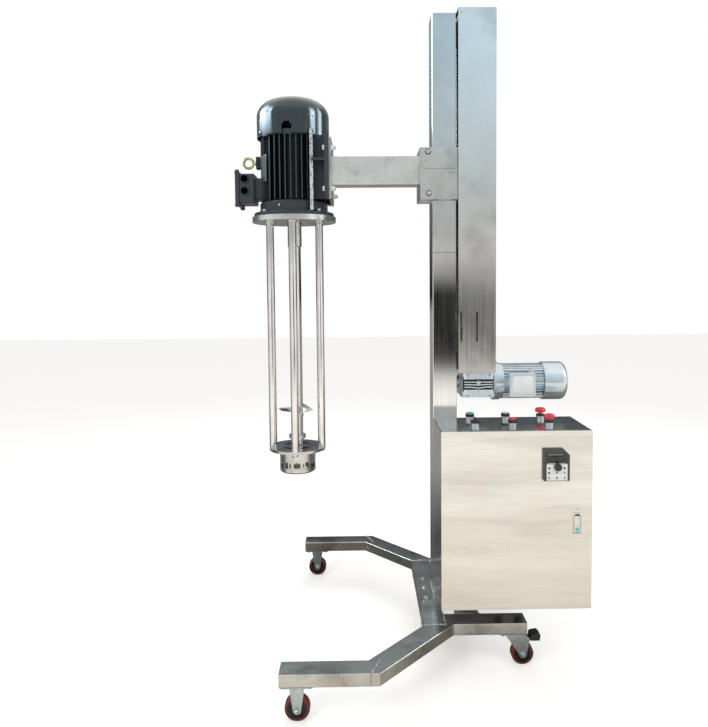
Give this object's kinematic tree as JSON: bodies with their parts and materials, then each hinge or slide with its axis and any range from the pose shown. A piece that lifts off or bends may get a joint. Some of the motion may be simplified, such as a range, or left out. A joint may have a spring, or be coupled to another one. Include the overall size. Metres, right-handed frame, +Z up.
{
  "type": "high shear mixer",
  "caption": "Mobile high shear mixer: motor-driven rotor and stator on tie rods, carried by an arm that a screw raises along a mast, with a control cabinet and a castered base.",
  "frame": {"origin": "on the floor, under the centre of the overall outline", "axes": "+Z up; the mixing head hangs toward -X; the cabinet's door faces -Y"},
  "size_m": [1.201, 1.105, 2.255],
  "materials": {
    "stainless_tube": "satin",
    "stainless_sheet": "brushed",
    "polished_steel": "polished",
    "bolt_steel": "bright",
    "motor_paint": "gloss",
    "yellow_zinc": "satin",
    "gearbox_silver": "satin",
    "bronze": "machined",
    "pad_plastic": "matte",
    "switch_black": "matte",
    "gear_grey": "matte",
    "gland_grey": "matte",
    "control_black": "gloss",
    "teal_cap": "gloss",
    "red_cap": "gloss",
    "keypad_case": "satin",
    "zinc": "satin",
    "wheel_red": "matte",
    "pedal_black": "matte"
  },
  "bodies": {
    "stand": {"crossbeams": "stainless_tube", "outriggers": "stainless_tube", "diagonals": "stainless_tube", "rear_legs": "stainless_tube", "foot_plate": "stainless_tube", "foot_bolts": "bolt_steel", "mast": "stainless_tube", "screw_cover": "stainless_sheet", "bearing_plates": "stainless_sheet", "limit_switches": "switch_black", "lift_gearbox": "gearbox_silver", "lift_motor": "gearbox_silver", "lift_motor_cowl": "gearbox_silver", "cabinet": "stainless_sheet", "switchgear": "gear_grey", "cable_glands": "gland_grey", "door_hinges": "bolt_steel", "control_bases": "control_black", "rigid_forks": "zinc", "swivel_plates": "zinc"},
    "lift_carriage": {"carriage": "stainless_tube", "guide_pads": "pad_plastic", "lifting_nut": "bronze", "arm": "stainless_tube", "arm_cover": "stainless_sheet", "motor_plate": "stainless_sheet", "motor_frame": "motor_paint", "motor_end_shield": "motor_paint", "motor_cowl": "motor_paint", "motor_bolts": "bolt_steel", "terminal_box": "motor_paint", "lifting_eye": "yellow_zinc", "head_flange": "polished_steel", "tie_rods": "polished_steel", "stator_holder": "polished_steel", "stator": "polished_steel"},
    "mixer_rotor": {"motor_rotor": "motor_paint", "mixer_shaft": "polished_steel", "shaft_coupling": "polished_steel", "propeller": "polished_steel", "shear_rotor": "polished_steel"},
    "lifting_screw": {"lifting_screw": "polished_steel"},
    "door": {"door": "stainless_sheet", "keypad": "keypad_case", "door_lock": "zinc"},
    "keypad_knob": {"keypad_knob": "control_black"},
    "lock_handle": {"lock_handle": "zinc"},
    "start_button": {"start_button": "teal_cap"},
    "stop_button": {"stop_button": "red_cap"},
    "selector_knob": {"selector_knob": "control_black"},
    "estop_front": {"estop_front": "red_cap"},
    "estop_rear": {"estop_rear": "red_cap"},
    "swivel_near": {"swivel_fork_near": "zinc"},
    "swivel_far": {"swivel_fork_far": "zinc"},
    "brake_pedal_near": {"brake_pedal_near": "pedal_black"},
    "brake_pedal_far": {"brake_pedal_far": "pedal_black"},
    "wheel_front_near": {"wheel_front_near": "wheel_red"},
    "wheel_front_far": {"wheel_front_far": "wheel_red"},
    "wheel_rear_near": {"wheel_rear_near": "wheel_red"},
    "wheel_rear_far": {"wheel_rear_far": "wheel_red"}
  },
  "joints": [
    {"name": "lift", "type": "slide", "parent": "stand", "child": "lift_carriage", "axis": [0, 0, 1], "range_m": [-0.58, 0.4]},
    {"name": "mixer_spin", "type": "hinge", "parent": "lift_carriage", "child": "mixer_rotor", "pos_m": [-0.3985, 0, 0.842], "axis": [0, 0, 1], "continuous": true},
    {"name": "screw_spin", "type": "hinge", "parent": "stand", "child": "lifting_screw", "pos_m": [0.261, 0, 1.5], "axis": [0, 0, 1], "continuous": true},
    {"name": "door_swing", "type": "hinge", "parent": "stand", "child": "door", "pos_m": [0.103, -0.28, 0.516], "axis": [0, 0, 1], "range_deg": [-110, 0]},
    {"name": "lock_tilt", "type": "hinge", "parent": "door", "child": "lock_handle", "pos_m": [0.5475, -0.291, 0.527], "axis": [1, 0, 0], "range_deg": [-40, 0]},
    {"name": "knob_turn", "type": "hinge", "parent": "door", "child": "keypad_knob", "pos_m": [0.4775, -0.31, 0.7], "axis": [0, 1, 0], "range_deg": [-135, 135]},
    {"name": "start_press", "type": "slide", "parent": "stand", "child": "start_button", "axis": [0, 0, 1], "range_m": [-0.004, 0], "stiffness_N_per_m": 400, "springref_m": 0.001},
    {"name": "stop_press", "type": "slide", "parent": "stand", "child": "stop_button", "axis": [0, 0, 1], "range_m": [-0.004, 0], "stiffness_N_per_m": 400, "springref_m": 0.001},
    {"name": "selector_turn", "type": "hinge", "parent": "stand", "child": "selector_knob", "pos_m": [0.224, -0.207, 0.84], "axis": [0, 0, 1], "range_deg": [-45, 45]},
    {"name": "estop_front_press", "type": "slide", "parent": "stand", "child": "estop_front", "axis": [0, 0, 1], "range_m": [-0.005, 0], "stiffness_N_per_m": 600, "springref_m": 0.001},
    {"name": "estop_rear_press", "type": "slide", "parent": "stand", "child": "estop_rear", "axis": [0, 0, 1], "range_m": [-0.005, 0], "stiffness_N_per_m": 600, "springref_m": 0.001},
    {"name": "swivel_near_turn", "type": "hinge", "parent": "stand", "child": "swivel_near", "pos_m": [0.344, -0.23, 0.105], "axis": [0, 0, 1], "continuous": true},
    {"name": "brake_near_press", "type": "hinge", "parent": "swivel_near", "child": "brake_pedal_near", "pos_m": [0.396, -0.23, 0.092], "axis": [0, 1, 0], "range_deg": [0, 14]},
    {"name": "wheel_front_near_roll", "type": "hinge", "parent": "stand", "child": "wheel_front_near", "pos_m": [-0.363, -0.515, 0.038], "axis": [0, 1, 0], "continuous": true},
    {"name": "wheel_rear_near_roll", "type": "hinge", "parent": "swivel_near", "child": "wheel_rear_near", "pos_m": [0.38, -0.23, 0.038], "axis": [0, 1, 0], "continuous": true},
    {"name": "swivel_far_turn", "type": "hinge", "parent": "stand", "child": "swivel_far", "pos_m": [0.344, 0.23, 0.105], "axis": [0, 0, 1], "continuous": true},
    {"name": "brake_far_press", "type": "hinge", "parent": "swivel_far", "child": "brake_pedal_far", "pos_m": [0.396, 0.23, 0.092], "axis": [0, 1, 0], "range_deg": [0, 14]},
    {"name": "wheel_front_far_roll", "type": "hinge", "parent": "stand", "child": "wheel_front_far", "pos_m": [-0.363, 0.515, 0.038], "axis": [0, 1, 0], "continuous": true},
    {"name": "wheel_rear_far_roll", "type": "hinge", "parent": "swivel_far", "child": "wheel_rear_far", "pos_m": [0.38, 0.23, 0.038], "axis": [0, 1, 0], "continuous": true}
  ],
  "couplings": [
    {"joint": "screw_spin", "follows": "lift", "rad_per_m": -628.32}
  ]
}
